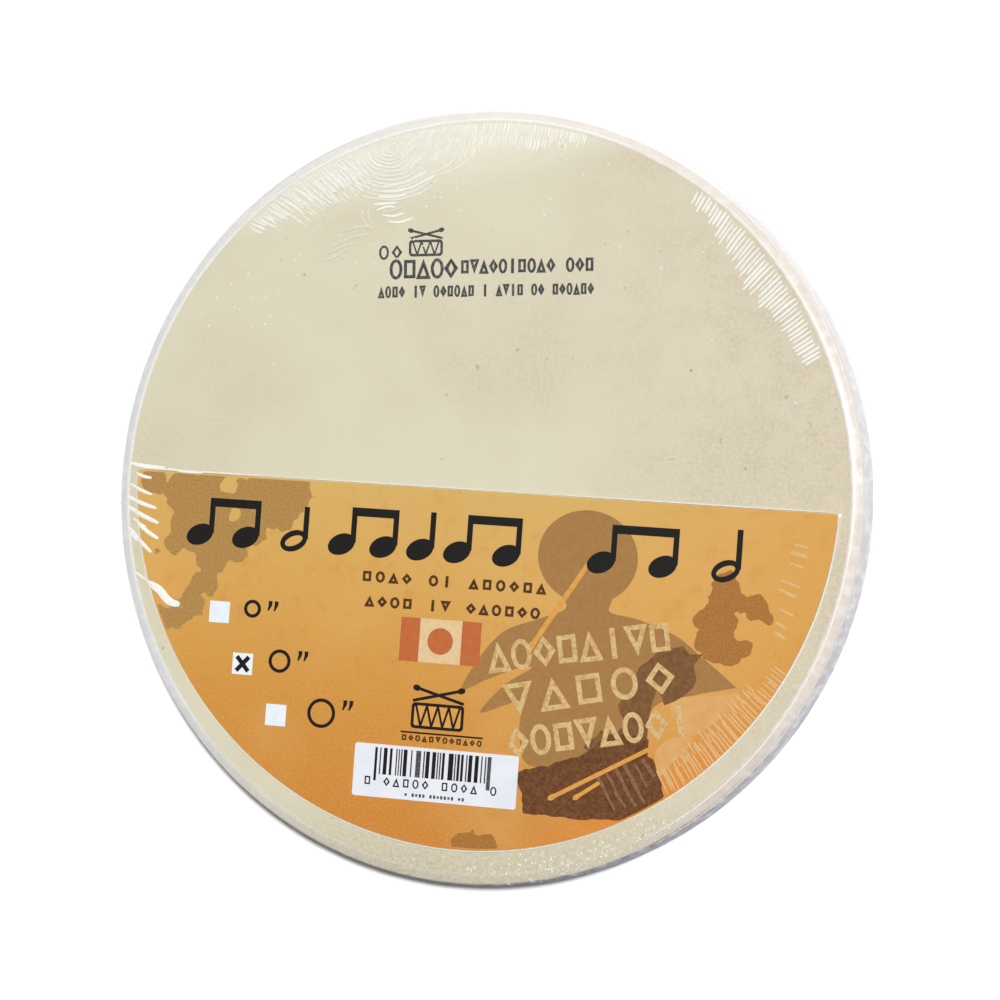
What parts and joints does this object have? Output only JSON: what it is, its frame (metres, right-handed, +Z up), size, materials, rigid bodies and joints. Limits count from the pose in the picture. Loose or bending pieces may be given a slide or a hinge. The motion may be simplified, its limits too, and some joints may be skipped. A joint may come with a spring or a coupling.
{
  "type": "practice pad",
  "caption": "Round flat drum practice pad: gum rubber disc on a board with a non-slip sheet below, a half-moon printed card on its face, all in clear shrink film.",
  "frame": {"origin": "centre of the underside, on the surface that the pad lies on", "axes": "+Z up, out of the playing face; +X along the lines of print; +Y up the face, from the card towards the bare rubber"},
  "size_m": [0.2038, 0.2038, 0.0152],
  "materials": {
    "gum_rubber": "matt tan gum rubber, faintly mottled",
    "board": "fibreboard sealed in grey paint, satin",
    "grip": "black closed-cell foam rubber, fine skin texture",
    "adhesive": "amber acrylic adhesive",
    "card": "printed card, orange ground, satin",
    "label": "white paper label, matt",
    "film": "clear glossy shrink film, wrinkled at the rim"
  },
  "bodies": {
    "root": {"grip_sheet": "grip", "grip_adhesive": "adhesive", "base_board": "board", "rubber_adhesive": "adhesive", "playing_rubber": "gum_rubber", "card_insert": "card", "stock_label": "label", "film_front": "film", "film_back": "film"}
  },
  "joints": []
}
